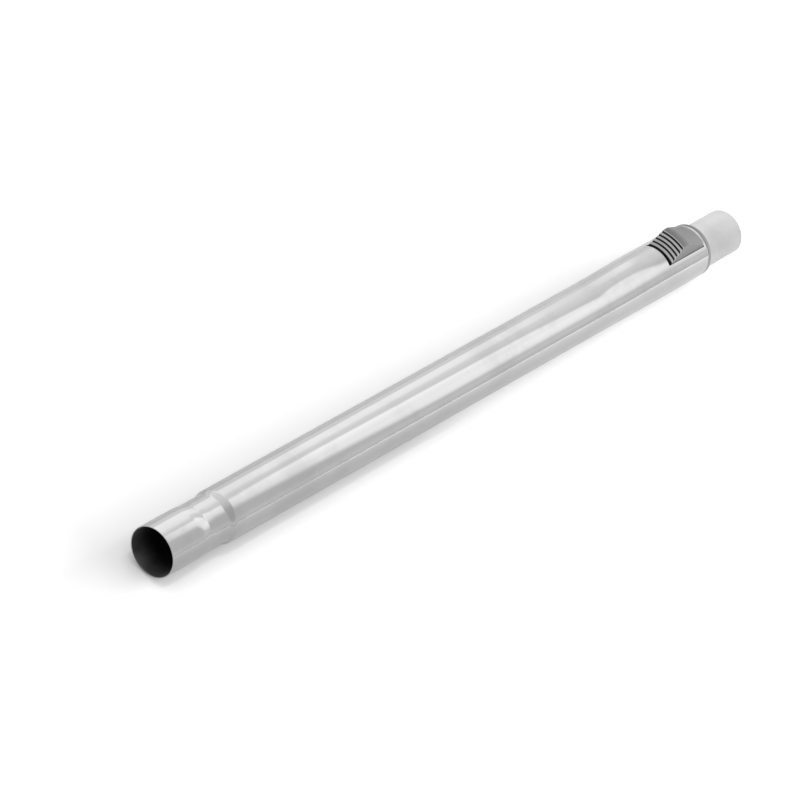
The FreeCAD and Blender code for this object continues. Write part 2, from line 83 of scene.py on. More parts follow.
# %% Read the places from the frame
MOUNTS = {mount["name"]: mount["dims"] for mount in frame["record"]["mounts"]}
SEAT_R = MOUNTS["nozzle_seat"]["r_mm"] * MM
SEAT_END = MOUNTS["nozzle_seat"]["length_mm"] * MM
WALL = SEAT_R - MOUNTS["mouth_bore"]["r_mm"] * MM

outer_low, outer_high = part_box("outer_tube")
_, inner_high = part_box("inner_tube")
ring_low, ring_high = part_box("end_ring")
cap_low, cap_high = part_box("button_cap")
TUBE_R = -outer_low.z
TUBE_END = outer_high.x
BULGE_RISE = outer_high.z - TUBE_R
BULGE_SIDE = outer_high.y - TUBE_R
INNER_R = inner_high.y
NECK_R = 16.85 * MM
NECK_RAMP = 10 * MM
NECK_END = 54 * MM
STEP_RAMP = 6 * MM
BULGE_START = 438 * MM
BULGE_FULL = 505 * MM
WINDOW_FRONT = 512 * MM
WINDOW_REAR = 551.5 * MM
WINDOW_HALF = 10.95 * MM
print("tube radius %.2f mm, inner radius %.2f mm" % (TUBE_R / MM, INNER_R / MM))

# %% [markdown]
# ## The outer tube
# The real tube is drawn steel, swaged down to a plug seat at the mouth and swelled around the lock.
# Behind the seat the neck is rolled in, and the rear edge is turned down a little. Chrome shows
# every dent in a mesh, so the tube is laid as an even grid of quads: rings along the wand, each
# ring an oval. The window for the button falls on grid lines, so no cut disturbs the reflections.


# %% Helpers for tubes made of rings
CREASE = math.radians(38)
BEVEL_SEGMENTS = 2


def ease(share):
    """A soft step from 0 to 1."""
    share = min(1.0, max(0.0, share))
    return share * share * (3 - 2 * share)


def roll_in(share):
    """A rolled-in neck: it leaves the seat softly and meets the neck at a crease."""
    share = min(1.0, max(0.0, share))
    return share * share


def spread(start, end, count):
    """Even places from the start to just before the end."""
    return [start + (end - start) * i / count for i in range(count)]


def face_strip(bm, first, second, material=0, closed=True):
    """Quads between two rows of points."""
    count = len(first)
    for j in range(count if closed else count - 1):
        k = (j + 1) % count
        bm.faces.new((first[j], first[k], second[k], second[j])).material_index = material


def finish_mesh(name, bm, body, node, bevel=0.0):
    """Turn a bmesh into a piece that rides a body and stands for a node."""
    bmesh.ops.recalc_face_normals(bm, faces=bm.faces)
    mesh = bpy.data.meshes.new(name)
    bm.to_mesh(mesh)
    bm.free()
    piece = bpy.data.objects.new(name, mesh)
    bpy.context.scene.collection.objects.link(piece)
    mesh.shade_smooth()
    mesh.set_sharp_from_angle(angle=CREASE)
    if bevel:
        round_off = piece.modifiers.new("rounded edges", "BEVEL")
        round_off.width = bevel
        round_off.segments = BEVEL_SEGMENTS
        round_off.limit_method = "ANGLE"
        round_off.angle_limit = CREASE
        round_off.harden_normals = True
    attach(piece, body)
    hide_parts(node)
    print("%s: %d faces" % (name, len(mesh.polygons)))
    return piece


def tube_section(x):
    """Half width, half height and centre height of the outer tube at x."""
    if x <= NECK_END:
        radius = SEAT_R + (NECK_R - SEAT_R) * roll_in((x - SEAT_END) / NECK_RAMP)
    else:
        radius = NECK_R + (TUBE_R - NECK_R) * ease((x - NECK_END) / STEP_RAMP)
    swell = ease((x - BULGE_START) / (BULGE_FULL - BULGE_START))
    return radius + BULGE_SIDE * swell, radius + BULGE_RISE / 2 * swell, BULGE_RISE / 2 * swell


# %% Build the outer tube
AROUND = 128
WINDOW_PARTS = 26
EDGE_RUN = 1.2 * MM
EDGE_DROP = 0.25 * MM
TUBE_BEVEL = 0.14 * MM
MOUTH_STATIONS = [0.0, 1 * MM, 12 * MM, 20 * MM]
RAMP_MARGIN = 0.5 * MM
STEP_MARGIN = 1 * MM
# rings on the neck's ramp, the neck, the step, the body, the bulge's rise and the rear edge
RAMP_RINGS, NECK_RINGS, STEP_RINGS, BODY_RINGS, BULGE_RINGS, EDGE_RINGS = 16, 3, 18, 8, 24, 5


def ring_angles(half_width, edge):
    """Angles round a section, with the window's two edges on grid lines."""
    turn = math.asin(edge / half_width)
    across = [-turn + 2 * turn * j / WINDOW_PARTS for j in range(WINDOW_PARTS)]
    rest = AROUND - WINDOW_PARTS
    return across + [turn + (2 * math.pi - 2 * turn) * j / rest for j in range(rest)]


def oval_ring(bm, x, half_width, half_height, centre, angles):
    """A ring of points across the wand at x."""
    return [bm.verts.new((x, half_width * math.sin(a), centre + half_height * math.cos(a)))
            for a in angles]


def tube_stations():
    """Places along the tube, closer together where its section changes."""
    ramp_start, ramp_end = SEAT_END - RAMP_MARGIN, SEAT_END + NECK_RAMP + RAMP_MARGIN
    step_start, step_end = NECK_END - RAMP_MARGIN, NECK_END + STEP_RAMP + STEP_MARGIN
    stations = MOUTH_STATIONS + spread(ramp_start, ramp_end, RAMP_RINGS)
    stations += spread(ramp_end, step_start, NECK_RINGS)
    stations += spread(step_start, step_end, STEP_RINGS)
    stations += spread(step_end, BULGE_START, BODY_RINGS)
    stations += spread(BULGE_START, BULGE_FULL, BULGE_RINGS)
    stations += [BULGE_FULL, WINDOW_FRONT, WINDOW_REAR]
    return stations + spread(TUBE_END - EDGE_RUN, TUBE_END, EDGE_RINGS) + [TUBE_END]


def build_outer_tube():
    stations = tube_stations()
    full_half = TUBE_R + BULGE_SIDE
    skins = []
    bm = bmesh.new()
    for inset in (0.0, WALL):
        angles = ring_angles(full_half - inset, WINDOW_HALF)
        rings = []
        for x in stations:
            across, up, centre = tube_section(x)
            drop = inset or EDGE_DROP * roll_in((x - TUBE_END + EDGE_RUN) / EDGE_RUN)
            rings.append(oval_ring(bm, x, across - drop, up - drop, centre, angles))
        skins.append(rings)
    front = stations.index(WINDOW_FRONT)
    for material, rings in enumerate(skins):
        for i in range(len(stations) - 1):
            for j in range(AROUND):
                if i == front and j < WINDOW_PARTS:
                    continue
                k = (j + 1) % AROUND
                here, there = rings[i], rings[i + 1]
                wall = bm.faces.new((here[j], here[k], there[k], there[j]))
                wall.material_index = material
    outside, inside = skins
    for end in (0, len(stations) - 1):
        face_strip(bm, outside[end], inside[end])
    for i in (front, front + 1):
        for j in range(WINDOW_PARTS):
            bm.faces.new((outside[i][j], outside[i][j + 1], inside[i][j + 1], inside[i][j]))
    for j in (0, WINDOW_PARTS):
        bm.faces.new((outside[front][j], outside[front + 1][j],
                      inside[front + 1][j], inside[front][j]))
    return finish_mesh("outer_tube_chrome", bm, "outer", "outer_tube", TUBE_BEVEL)


outer_tube = build_outer_tube()

# %% [markdown]
# ## The end ring
# A moulded ring plugs the end of the outer tube and holds the wiper seal in place. It is turned
# from one list of stations: an oval outside that follows the bulge, a round bore, and a rounded
# rear edge that catches a thin line of light.

# %% Build the end ring
RING_INSET = 0.1 * MM
RING_ROUND = 0.9 * MM
RING_GAP = 0.3 * MM
RING_CLEARANCE = 0.05 * MM
RING_CHAMFER = 0.3 * MM
ROUND_STEPS = 5


def build_end_ring():
    full_across, full_up = TUBE_R + BULGE_SIDE, TUBE_R + BULGE_RISE / 2
    angles = [2 * math.pi * j / AROUND for j in range(AROUND)]
    collar = WALL + RING_INSET
    flange = TUBE_END + RING_CLEARANCE
    outline = [(ring_low.x, collar), (flange, collar)]
    outline += [(flange, RING_INSET + RING_CHAMFER), (flange + RING_CHAMFER, RING_INSET)]
    for i in range(ROUND_STEPS + 1):
        turn = math.pi / 2 * i / ROUND_STEPS
        outline.append((ring_high.x - RING_ROUND * (1 - math.sin(turn)),
                        RING_INSET + RING_ROUND * (1 - math.cos(turn))))
    bm = bmesh.new()
    rings = []
    for x, inset in outline:
        rings.append(oval_ring(bm, x, full_across - inset, full_up - inset, BULGE_RISE / 2, angles))
    bore = INNER_R + RING_GAP
    bore_line = [(ring_high.x, bore + RING_CHAMFER), (ring_high.x - RING_CHAMFER, bore),
                 (ring_low.x, bore)]
    for x, radius in bore_line:
        rings.append(oval_ring(bm, x, radius, radius, 0.0, angles))
    for first, second in zip(rings, rings[1:] + rings[:1]):
        face_strip(bm, first, second)
    return finish_mesh("end_ring_moulded", bm, "outer", "end_ring")


end_ring = build_end_ring()

# %% [markdown]
# ## The button cap
# The thumb slides this cap to let go of the catch, so its front slope carries ridges. It is laid as
# lines set side by side: each line runs up the front, over the ridges and the crest, and down to
# the rear. Underneath, the cap is hollow to clear the catch and its springs. The grooves between
# the ridges are real slots, and a small bevel rounds every edge. The walls and floors of the
# grooves and the cap's front face are painted black as shade, and the ridges are painted a paler
# grey as light.

# %% The sections of the cap
# half width, height of the corner and height of the crown, the heights above the inner tube
FRONT_SECTION = (10.6 * MM, 1.6 * MM, 4.3 * MM)
BROW_SECTION = (9.75 * MM, 11.4 * MM, 12.7 * MM)
CREST_SECTION = (9.65 * MM, 11.8 * MM, 13.08 * MM)
REAR_SECTION = (10.4 * MM, 1.7 * MM, 4.7 * MM)
BROW_RUN = 8.9 * MM
CREST_RUN = 4.3 * MM
RIB_FIRST = 1.75 * MM
RIB_PITCH = 2.07 * MM
RIB_GROOVE = 0.9 * MM
RIB_DEPTH = 1.3 * MM
RIB_GROOVES = 4
HOLLOW_SHARE = 8 / 10.6
HOLLOW_FRONT = 5.2 * MM
HOLLOW_REAR = 10 * MM
HOLLOW_LOW = 4.6 * MM
HOLLOW_ROOF = 8.2 * MM
CAP_WALL = 1.6 * MM
CAP_BEVEL = 0.16 * MM
RIM_LINES, HOLLOW_LINES, REAR_PARTS = 5, 26, 6
SADDLE_R = math.hypot(cap_low.z, FRONT_SECTION[0])
CAP_FRONT, CAP_REAR = cap_low.x, cap_high.x
BROW_AT = CAP_FRONT + BROW_RUN
CREST_AT = BROW_AT + CREST_RUN
CAP_STATIONS = [(CAP_FRONT, FRONT_SECTION), (BROW_AT, BROW_SECTION), (CREST_AT, CREST_SECTION),
                (CAP_REAR, REAR_SECTION)]


def cap_section(x):
    """The section of the cap at x, between the two named ones beside it."""
    for (x0, first), (x1, second) in zip(CAP_STATIONS, CAP_STATIONS[1:]):
        if x <= x1:
            share = (x - x0) / (x1 - x0)
            return [a + (b - a) * share for a, b in zip(first, second)]
    return REAR_SECTION


def cap_point(x, side, depth=0.0):
    """A point of the cap's crowned top, or below it by the depth; side runs from -1 to 1."""
    half, corner, crown = cap_section(x)
    arch = (half ** 2 + (crown - corner) ** 2) / (2 * (crown - corner))
    y = side * half
    return Vector((x, y, INNER_R + crown - arch + math.sqrt((arch - depth) ** 2 - y ** 2)))


def foot_y(x, side):
    """Across the cap's foot, which narrows a little to the rear."""
    share = (x - CAP_FRONT) / (CAP_REAR - CAP_FRONT)
    return side * (FRONT_SECTION[0] + (REAR_SECTION[0] - FRONT_SECTION[0]) * share)


def saddle_point(x, side):
    """A point of the foot, which sits on the round back of the carriage."""
    y = foot_y(x, side)
    return Vector((x, y, math.sqrt(SADDLE_R ** 2 - y ** 2)))


print("cap: front %.1f, brow %.1f, crest %.1f, rear %.1f mm" % (
    CAP_FRONT / MM, BROW_AT / MM, CREST_AT / MM, CAP_REAR / MM))

# %% Build the button cap
# material slots: plain grey; painted shade, black, on the grooves and the front face; painted
# light, a paler grey, on the ridges
CAP_GREY, CAP_PAINTED_SHADE, CAP_PAINTED_LIGHT = 0, 1, 2


def cap_top_line(side):
    """Points from the front edge to the rear edge, and the slot of each stretch between them:
    painted light on the ridges, painted shade in the grooves, plain grey behind.
    """
    points, finishes = [cap_point(CAP_FRONT, side)], []
    for i in range(RIB_GROOVES):
        middle = CAP_FRONT + RIB_FIRST + RIB_PITCH * i
        near, far = middle - RIB_GROOVE / 2, middle + RIB_GROOVE / 2
        floor = cap_point(middle, side, RIB_DEPTH).z
        points += [cap_point(near, side), Vector((near, cap_point(near, side).y, floor)),
                   Vector((far, cap_point(far, side).y, floor)), cap_point(far, side)]
        # each ridge top is painted light, and the groove's walls and floor are painted shade
        finishes += [CAP_PAINTED_LIGHT, CAP_PAINTED_SHADE, CAP_PAINTED_SHADE, CAP_PAINTED_SHADE]
    points.append(cap_point(BROW_AT, side))
    finishes.append(CAP_PAINTED_LIGHT)
    rear_slope = spread(CREST_AT, CAP_REAR, REAR_PARTS) + [CAP_REAR]
    for x in [BROW_AT + CREST_RUN / 2] + rear_slope:
        points.append(cap_point(x, side))
        finishes.append(CAP_GREY)
    return points, finishes


CAP_SIDES = spread(-1, -HOLLOW_SHARE, RIM_LINES)
CAP_SIDES += spread(-HOLLOW_SHARE, HOLLOW_SHARE, HOLLOW_LINES)
CAP_SIDES += spread(HOLLOW_SHARE, 1, RIM_LINES) + [1]
HOLLOW_ENDS = (CAP_FRONT + HOLLOW_FRONT, CAP_REAR - HOLLOW_REAR)


def hollow_line(side):
    """Points of the hollow under the cap, from its rear wall over its roof to its front wall."""
    front, rear = HOLLOW_ENDS
    corners = [(rear, HOLLOW_LOW), (CREST_AT + 2 * CAP_WALL, HOLLOW_ROOF),
               (BROW_AT + CAP_WALL, HOLLOW_ROOF), (front, HOLLOW_LOW)]
    return [Vector((x, foot_y(x, side), INNER_R + height)) for x, height in corners]


def close_cap_side(bm, top, foot):
    """The end faces of the ridges, and the wall below them down to the foot."""
    base = [top[0]]
    for i in range(RIB_GROOVES):
        near_top, near_floor, far_floor = top[1 + 4 * i:4 + 4 * i]
        ridge = [base[-1], near_top, near_floor]
        if i:
            ridge.insert(1, top[4 * i])
        # the ridge's end face is painted light
        bm.faces.new(ridge).material_index = CAP_PAINTED_LIGHT
        base += [near_floor, far_floor]
    brow = 1 + 4 * RIB_GROOVES
    # the end face of the last ridge, below the brow, is painted light
    bm.faces.new((base[-1], top[brow - 1], top[brow])).material_index = CAP_PAINTED_LIGHT
    bm.faces.new([foot[0]] + base + top[brow:] + foot[:0:-1])


def close_cap_foot(bm, feet):
    """The underside: a frame that sits on the carriage, and the hollow inside it."""
    open_lines = [j for j, side in enumerate(CAP_SIDES) if abs(side) < HOLLOW_SHARE * 1.001]
    hollow = {}
    for j in open_lines:
        roof = [bm.verts.new(p) for p in hollow_line(CAP_SIDES[j])]
        hollow[j] = [feet[j][2]] + roof + [feet[j][1]]
    for j, (here, there) in enumerate(zip(feet, feet[1:])):
        inside = j in hollow and j + 1 in hollow
        for k in range(3):
            if not (inside and k == 1):
                bm.faces.new((here[k], there[k], there[k + 1], here[k + 1]))
        if inside:
            face_strip(bm, hollow[j], hollow[j + 1], closed=False)
    for j in (open_lines[0], open_lines[-1]):
        bm.faces.new(hollow[j])


def build_button_cap():
    bm = bmesh.new()
    tops, feet = [], []
    foot_places = (CAP_FRONT, *HOLLOW_ENDS, CAP_REAR)
    for side in CAP_SIDES:
        points, finishes = cap_top_line(side)
        tops.append([bm.verts.new(p) for p in points])
        feet.append([bm.verts.new(saddle_point(x, side)) for x in foot_places])
    for j in range(len(CAP_SIDES) - 1):
        here, there = tops[j], tops[j + 1]
        for i, finish in enumerate(finishes):
            bm.faces.new((here[i], here[i + 1], there[i + 1], there[i])).material_index = finish
        # the cap's front face is painted black as shade
        bm.faces.new((feet[j][0], here[0], there[0], feet[j + 1][0])).material_index = CAP_PAINTED_SHADE
        bm.faces.new((here[-1], feet[j][-1], feet[j + 1][-1], there[-1]))
    for edge in (0, -1):
        close_cap_side(bm, tops[edge], feet[edge])
    close_cap_foot(bm, feet)
    return finish_mesh(
        "button_cap_ridged", bm, "button", "button_cap", CAP_BEVEL)


button_cap = build_button_cap()

# %% [markdown]
# ## The springs under the button
# Two coil springs push the button home, and a leaf spring carries the tooth that drops into a notch
# of the inner tube. Their solids are right but rigid. Shape keys or a lattice could bend them. Here
# each solid is copied into a piece of its own that rides the outer tube in place of its node, and
# it keeps its shape.


def flexing_copy(node):
    """A copy of a spring's solid, as a piece of its own that rides the outer tube."""
    piece = bpy.data.objects.new(node + "_flexing", frame["nodes"][node].data.copy())
    bpy.context.scene.collection.objects.link(piece)
    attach(piece, "outer")
    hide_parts(node)
    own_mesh(piece)
    return piece


def make_springs():
    pieces = []
    for node in ("return_spring_left", "return_spring_right"):
        pieces.append(flexing_copy(node))
    pieces.append(flexing_copy("catch_spring"))
    return pieces


springs = make_springs()
print("springs that give:", ", ".join(piece.name for piece in springs))

# %% [markdown]
# ## Shader groups
# Handling marks, drawing lines and moulding grain appear on several finishes, so each is one node
# group. A group puts out only what changes over the surface, and the shader itself stays in the
# material.


# %% Helpers for node trees
def link_nodes(tree, pairs):
    for start, end in pairs:
        tree.links.new(start, end)


def place_axes(tree, kind="Object"):
    """The X, Y and Z of each place, in the object's own frame or another."""
    place = tree.nodes.new("ShaderNodeTexCoord")
    split = tree.nodes.new("ShaderNodeSeparateXYZ")
    tree.links.new(place.outputs[kind], split.inputs["Vector"])
    return split.outputs["X"], split.outputs["Y"], split.outputs["Z"]


def colour_mix(tree, first=None, second=None, blend="MIX"):
    """A colour mix; an end without a colour is linked later."""
    node = tree.nodes.new("ShaderNodeMix")
    node.data_type = "RGBA"
    node.blend_type = blend
    for title, colour in (("A", first), ("B", second)):
        if colour is not None:
            node.inputs[title].default_value = (*colour, 1)
    return node


def new_group(name, inputs, outputs):
    group = bpy.data.node_groups.new(name, "ShaderNodeTree")
    for title, kind, value in inputs:
        socket = group.interface.new_socket(title, in_out="INPUT", socket_type=kind)
        socket.default_value = value
    for title, kind in outputs:
        group.interface.new_socket(title, in_out="OUTPUT", socket_type=kind)
    return group, group.nodes.new("NodeGroupInput"), group.nodes.new("NodeGroupOutput")


# %% Smudges: faint patches left by hands and cloths
def make_smudges():
    group, given, made = new_group(
        "handling_smudges",
        [("Scale", "NodeSocketFloat", 30.0), ("Clean", "NodeSocketFloat", 0.05),
         ("Smudged", "NodeSocketFloat", 0.15)],
        [("Roughness", "NodeSocketFloat"), ("Mask", "NodeSocketFloat")])
    place = group.nodes.new("ShaderNodeTexCoord")
    patches = group.nodes.new("ShaderNodeTexNoise")
    patches.inputs["Detail"].default_value = 4
    patches.inputs["Roughness"].default_value = 0.6
    narrow = group.nodes.new("ShaderNodeMapRange")
    narrow.interpolation_type = "SMOOTHSTEP"
    narrow.inputs["From Min"].default_value = 0.42
    narrow.inputs["From Max"].default_value = 0.68
    blend = group.nodes.new("ShaderNodeMapRange")
    link_nodes(group, [
        (place.outputs["Object"], patches.inputs["Vector"]),
        (given.outputs["Scale"], patches.inputs["Scale"]),
        (patches.outputs["Fac"], narrow.inputs["Value"]),
        (narrow.outputs["Result"], blend.inputs["Value"]),
        (given.outputs["Clean"], blend.inputs["To Min"]),
        (given.outputs["Smudged"], blend.inputs["To Max"]),
        (blend.outputs["Result"], made.inputs["Roughness"]),
        (narrow.outputs["Result"], made.inputs["Mask"]),
    ])
    return group


# %% Drawing lines: hair-fine marks along a drawn tube
def make_draw_lines():
    group, given, made = new_group(
        "drawing_lines",
        [("Across", "NodeSocketFloat", 900.0), ("Along", "NodeSocketFloat", 6.0)],
        [("Height", "NodeSocketFloat")])
    place = group.nodes.new("ShaderNodeTexCoord")
    stretch = group.nodes.new("ShaderNodeCombineXYZ")
    scaled = group.nodes.new("ShaderNodeVectorMath")
    scaled.operation = "MULTIPLY"
    lines = group.nodes.new("ShaderNodeTexNoise")
    lines.inputs["Scale"].default_value = 1.0
    lines.inputs["Detail"].default_value = 3
    link_nodes(group, [
        (given.outputs["Along"], stretch.inputs["X"]),
        (given.outputs["Across"], stretch.inputs["Y"]),
        (given.outputs["Across"], stretch.inputs["Z"]),
        (place.outputs["Object"], scaled.inputs[0]),
        (stretch.outputs["Vector"], scaled.inputs[1]),
        (scaled.outputs["Vector"], lines.inputs["Vector"]),
        (lines.outputs["Fac"], made.inputs["Height"]),
    ])
    return group


# %% Moulding grain: the fine spark-eroded texture of moulded plastic
def make_grain():
    group, given, made = new_group(
        "moulding_grain",
        [("Scale", "NodeSocketFloat", 2600.0), ("Dark", "NodeSocketColor", (0.2, 0.2, 0.2, 1)),
         ("Light", "NodeSocketColor", (0.3, 0.3, 0.3, 1))],
        [("Color", "NodeSocketColor"), ("Height", "NodeSocketFloat")])
    place = group.nodes.new("ShaderNodeTexCoord")
    fine = group.nodes.new("ShaderNodeTexNoise")
    fine.inputs["Detail"].default_value = 2
    flow = group.nodes.new("ShaderNodeTexNoise")
    flow.inputs["Scale"].default_value = 90
    flow.inputs["Detail"].default_value = 3
    tone = colour_mix(group)
    link_nodes(group, [
        (place.outputs["Object"], fine.inputs["Vector"]),
        (place.outputs["Object"], flow.inputs["Vector"]),
        (given.outputs["Scale"], fine.inputs["Scale"]),
        (flow.outputs["Fac"], tone.inputs["Factor"]),
        (given.outputs["Dark"], tone.inputs["A"]),
        (given.outputs["Light"], tone.inputs["B"]),
        (tone.outputs["Result"], made.inputs["Color"]),
        (fine.outputs["Fac"], made.inputs["Height"]),
    ])
    return group


SMUDGES = make_smudges()
DRAW_LINES = make_draw_lines()
GRAIN = make_grain()
print("shader groups:", ", ".join(group.name for group in bpy.data.node_groups))

# %% [markdown]
# ## Finishes
# Chrome plate reflects about half of the light, so a mid grey base colour is right for it. The bore
# is dull bare metal, with painted shade that darkens it past the mouth. The plastics are grey, with
# a fine grain that breaks up their highlights. On the button cap, the grooves and the front face
# are painted black as shade, and the ridges a paler grey as light.


# %% Helpers for materials
def new_material(name):
    material = bpy.data.materials.new(name)
    material.use_nodes = True
    tree = material.node_tree
    return material, tree, tree.nodes["Principled BSDF"]


def add_group(tree, group, **values):
    node = tree.nodes.new("ShaderNodeGroup")
    node.node_tree = group
    for title, value in values.items():
        node.inputs[title].default_value = value
    return node


def add_bump(tree, shader, height, strength, distance):
    bump = tree.nodes.new("ShaderNodeBump")
    bump.inputs["Strength"].default_value = strength
    bump.inputs["Distance"].default_value = distance
    tree.links.new(height, bump.inputs["Height"])
    tree.links.new(bump.outputs["Normal"], shader.inputs["Normal"])


def math_node(tree, operation, *values):
    """A maths node; each input is a socket or a number."""
    node = tree.nodes.new("ShaderNodeMath")
    node.operation = operation
    for slot, value in zip(node.inputs, values):
        if isinstance(value, bpy.types.NodeSocket):
            tree.links.new(value, slot)
        else:
            slot.default_value = value
    return node.outputs["Value"]


def fade(tree, value, low, high):
    """A soft step from 0 at low to 1 at high."""
    node = tree.nodes.new("ShaderNodeMapRange")
    node.interpolation_type = "SMOOTHSTEP"
    node.inputs["From Min"].default_value = low
    node.inputs["From Max"].default_value = high
    tree.links.new(value, node.inputs["Value"])
    return node.outputs["Result"]


PLATING_SMUDGES, BORE_SMUDGES, PLASTIC_SMUDGES = 26.0, 40.0, 60.0
PLATING_BUMP = 0.02 * MM
PLASTIC_BUMP = 0.05 * MM
SMUDGE_DULLS = 0.1
BORE_CLEAN, BORE_DULL = 0.4, 0.5
# painted shade: the bore's colour darkens over this depth past the mouth
BORE_SHADE_DEPTH = 22 * MM


def make_plating(name, dark, light, clean, smudged, line_strength):
    """Chrome plate: even metal, faint smudges, hair lines along the tube."""
    material, tree, shader = new_material(name)
    shader.inputs["Metallic"].default_value = 1.0
    smudges = add_group(tree, SMUDGES, Scale=PLATING_SMUDGES, Clean=clean, Smudged=smudged)
    lines = add_group(tree, DRAW_LINES)
    tone = colour_mix(tree, light, dark)
    link_nodes(tree, [
        (smudges.outputs["Mask"], tone.inputs["Factor"]),
        (tone.outputs["Result"], shader.inputs["Base Color"]),
        (smudges.outputs["Roughness"], shader.inputs["Roughness"]),
    ])
    add_bump(tree, shader, lines.outputs["Height"], line_strength, PLATING_BUMP)
    return material


def make_bore(name, at_mouth, deep):
    """The bare inside of the tube, dull, with painted shade that darkens its colour further in."""
    material, tree, shader = new_material(name)
    shader.inputs["Metallic"].default_value = 1.0
    smudges = add_group(
        tree, SMUDGES, Scale=BORE_SMUDGES, Clean=BORE_CLEAN, Smudged=BORE_DULL)
    along, _, _ = place_axes(tree)
    tone = colour_mix(tree, at_mouth, deep)
    link_nodes(tree, [
        (fade(tree, along, 0.0, BORE_SHADE_DEPTH), tone.inputs["Factor"]),
        (tone.outputs["Result"], shader.inputs["Base Color"]),
        (smudges.outputs["Roughness"], shader.inputs["Roughness"]),
    ])
    return material


def make_plastic(name, dark, light, roughness, grain_scale, grain_strength, gloss=0.5):
    """Moulded plastic: a grained grey with dull smudges."""
    material, tree, shader = new_material(name)
    shader.inputs["Specular IOR Level"].default_value = gloss
    grain = add_group(tree, GRAIN, Scale=grain_scale, Dark=(*dark, 1), Light=(*light, 1))
    smudges = add_group(
        tree, SMUDGES, Scale=PLASTIC_SMUDGES, Clean=roughness, Smudged=roughness + SMUDGE_DULLS)
    link_nodes(tree, [
        (grain.outputs["Color"], shader.inputs["Base Color"]),
        (smudges.outputs["Roughness"], shader.inputs["Roughness"]),
    ])
    add_bump(tree, shader, grain.outputs["Height"], grain_strength, PLASTIC_BUMP)
    return material


# %% Make the finishes
def grey(value):
    return (value, value, value)


# plating: dark, light, roughness clean and smudged, strength of the lines
# plastic: dark, light, roughness, scale and strength of the grain, gloss
chrome = make_plating("bright_chrome", grey(0.45), grey(0.49), 0.06, 0.11, 0.06)
satin_chrome = make_plating("satin_chrome", grey(0.56), grey(0.60), 0.56, 0.64, 0.25)
bore_steel = make_bore("bore_steel", grey(0.55), grey(0.08))
steel = make_plating("spring_steel", grey(0.40), grey(0.48), 0.25, 0.4, 0.2)
button_grey = make_plastic("button_grey", grey(0.15), grey(0.18), 0.4, 2400.0, 0.25, 0.12)
# painted shade: black for the cap's grooves and front face
cap_painted_shade = make_plastic("cap_painted_shade", grey(0.012), grey(0.02), 0.55, 2400.0, 0.2)
# painted light: a paler copy of the cap's grey, for its ridges
ridge_painted_light = make_plastic("ridge_painted_light", grey(0.46), grey(0.54), 0.42, 2400.0, 0.25)
ring_grey = make_plastic("ring_grey", grey(0.17), grey(0.21), 0.45, 2400.0, 0.25)
sleeve_grey = make_plastic("sleeve_grey", grey(0.06), grey(0.09), 0.5, 2000.0, 0.2)
carriage_black = make_plastic("carriage_black", grey(0.012), grey(0.02), 0.5, 2000.0, 0.2)
seal_black = make_plastic("seal_rubber", grey(0.015), grey(0.03), 0.7, 1500.0, 0.35)

# %% Dress the nodes and pieces
DRESS = {
    "inner_tube": satin_chrome,
    "guide_sleeve": sleeve_grey,
    "wiper_seal": seal_black,
    "catch_rivet": steel,
    "slide_carriage": carriage_black,
    "rear_glide": sleeve_grey,
    "rear_seal": seal_black,
}


def dress(piece, *materials):
    for material in materials:
        piece.data.materials.append(material)


for node, material in DRESS.items():
    frame["nodes"][node].data.materials.clear()
    dress(frame["nodes"][node], material)
dress(outer_tube, chrome, bore_steel)
dress(end_ring, ring_grey)
dress(button_cap, button_grey, cap_painted_shade, ridge_painted_light)
for piece in springs:
    piece.data.materials.clear()
    dress(piece, steel)
print("dressed:", len(DRESS), "solids, the tube, the ring, the cap and", len(springs), "springs")

# %% [markdown]
# ## Floor, light and camera
# Chrome shows its room, so the room is part of the work. A tent of pale cloth gives the soft greys,
# and a painted panel overhead draws the long bright bands. Two lamps that the chrome doesn't mirror
# light the floor and the plastics. The floor is white paper with painted light and shade: it glows
# a little for the camera, it has painted shade on top of the real shade where the wand touches it,
# painted light on the near side of the handle end, and painted shade far to the near side, as light
# falling off. The camera stands where the picture was taken from.


# %% Floor
FLOOR_HALF = 6.0
FLOOR_PARTS = 8
FLOOR_ROUGHNESS = 0.9
FLOOR_GLOSS = 0.1
PAPER_GRAIN = 60.0
PAPER_DARK, PAPER_LIGHT = 0.84, 0.86
# painted shade: far to the near side the paper darkens, as light falling off
FALLOFF_NEAR = -0.6
FALLOFF_FAR = -1.3
FALLOFF_TONE = 0.3
# painted shade where the wand touches: the chrome mirrors all of it, and the camera sees a part of
# it, by the mouth alone
CONTACT_REACH = 8 * MM
CONTACT_SHADE_TONE = 0.2
CONTACT_CLEAR = 0.75
CONTACT_ENDS = (0.06, 0.34)
# painted light: a glow that lifts the open floor, for the camera alone
LIFT_REACH = 18 * MM
FLOOR_LIFT = 0.29
# painted light: brighter paper on the near side of the handle end
PAINTED_LIGHT_ALONG = (0.25, 0.5)
PAINTED_LIGHT_ACROSS = (0.03, -0.03)
PAINTED_LIGHT_GAIN = 1.1


def open_share(tree, reach):
    """How open the floor lies to the sky, within reach of its point."""
    node = tree.nodes.new("ShaderNodeAmbientOcclusion")
    node.inputs["Distance"].default_value = reach
    return node.outputs["AO"]


